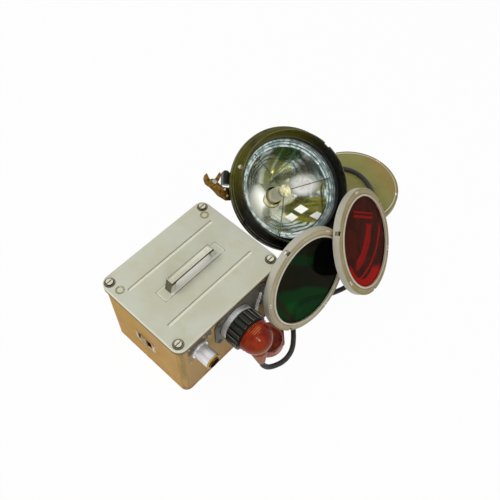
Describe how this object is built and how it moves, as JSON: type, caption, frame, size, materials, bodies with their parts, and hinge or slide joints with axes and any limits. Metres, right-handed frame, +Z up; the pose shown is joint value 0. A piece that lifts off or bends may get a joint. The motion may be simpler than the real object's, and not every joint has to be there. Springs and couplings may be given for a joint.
{
  "type": "signal lamp set",
  "caption": "Portable signal lamp set: battery box with screw plug and lead, round lamp head, coloured filters and a cover disc.",
  "frame": {"origin": "on the floor under the middle of the set's bounding box, measured without the lead and its plug", "axes": "+X along the set and the box's long side, towards the cover disc; +Y from the box's socket side to its back; +Z up"},
  "size_m": [0.585, 0.2882, 0.2244],
  "materials": {
    "tan_paint": "worn tan enamel with chips",
    "lid_paint": "pale grey-green enamel, faintly mottled",
    "handle_paint": "worn cream paint over steel",
    "bright_steel": "bright turned steel",
    "dark_plate": "dark grey paint",
    "brass": "aged brass",
    "gold_brass": "bright brass",
    "aluminium": "turned aluminium",
    "black_rubber": "matt black rubber",
    "grey_rubber": "grey rubber",
    "battery_case": "black moulded battery case",
    "red_plastic": "red moulded vent caps",
    "bakelite": "red-brown moulded resin, glossy",
    "tail_rubber": "brown rubber",
    "black_plastic": "black moulded resin",
    "black_enamel": "black enamel, slightly worn",
    "clear_glass": "clear polished glass",
    "mirror": "silvered reflector",
    "green_glass": "deep green glass",
    "red_glass": "deep red glass",
    "filter_paint": "khaki grey enamel",
    "cover_paint": "olive enamel",
    "ceramic": "pale ceramic lamp holder"
  },
  "bodies": {
    "set": {"case": "tan_paint", "lid_gasket": "grey_rubber", "lid": "lid_paint", "lid_washers": "bright_steel", "lid_screws": "bright_steel", "handle": "handle_paint", "handle_screws": "bright_steel", "strap_loops": "tan_paint", "blank_plates": "dark_plate", "plate_rivets": "bright_steel", "batteries": "battery_case", "cell_caps": "red_plastic", "battery_links": "gold_brass", "outlet_plate": "dark_plate", "outlet_screws": "bright_steel", "outlet_collar": "aluminium", "outlet_insert": "bakelite", "outlet_contacts": "gold_brass", "charge_collar": "aluminium", "charge_sleeve": "brass", "charge_contact": "gold_brass", "plug_shell": "bakelite", "plug_tail": "tail_rubber", "plug_pins": "gold_brass", "lead": "black_rubber", "dust_cap": "bakelite", "dust_cap_ring": "aluminium", "cap_chain": "bright_steel", "hood": "black_enamel", "rim": "black_enamel", "front_glass": "clear_glass", "glass_seal": "black_rubber", "stepped_ring": "mirror", "reflector": "mirror", "spider": "bright_steel", "shield": "aluminium", "bulb_glass": "clear_glass", "bulb_base": "brass", "bulb_holder": "ceramic", "rear_shell": "black_enamel", "rear_neck": "black_enamel", "grip": "black_plastic", "lead_gland": "black_rubber", "key_strap": "brass", "key_plate": "brass", "key_block": "black_plastic", "key_pin": "bright_steel", "key_spring": "bright_steel", "key_screws": "bright_steel"},
    "coupling": {"coupling_ring": "black_plastic"},
    "key": {"key_lever": "brass"},
    "green_filter": {"green_ring": "filter_paint", "green_glass": "green_glass", "green_catches": "bright_steel"},
    "red_filter": {"red_ring": "filter_paint", "red_glass": "red_glass", "red_catches": "bright_steel"},
    "cover": {"cover_disc": "cover_paint", "cover_catches": "bright_steel"}
  },
  "joints": [
    {"name": "coupling_turn", "type": "hinge", "parent": "set", "child": "coupling", "pos_m": [-0.1842, -0.0606, 0.102], "axis": [0, -1, 0], "continuous": true},
    {"name": "key_press", "type": "hinge", "parent": "set", "child": "key", "pos_m": [-0.06416, 0.11484, 0.18374], "axis": [0.087, 0.5494, -0.831], "range_deg": [0, 8], "stiffness_Nm_per_rad": 0.12, "springref_deg": -17.19},
    {"name": "green_filter_away", "type": "slide", "parent": "set", "child": "green_filter", "axis": [0, -1, 0], "range_m": [0, 0.12]},
    {"name": "red_filter_away", "type": "slide", "parent": "green_filter", "child": "red_filter", "axis": [0, -1, 0], "range_m": [0, 0.15]},
    {"name": "cover_away", "type": "slide", "parent": "set", "child": "cover", "axis": [1, 0, 0], "range_m": [0, 0.12]}
  ]
}
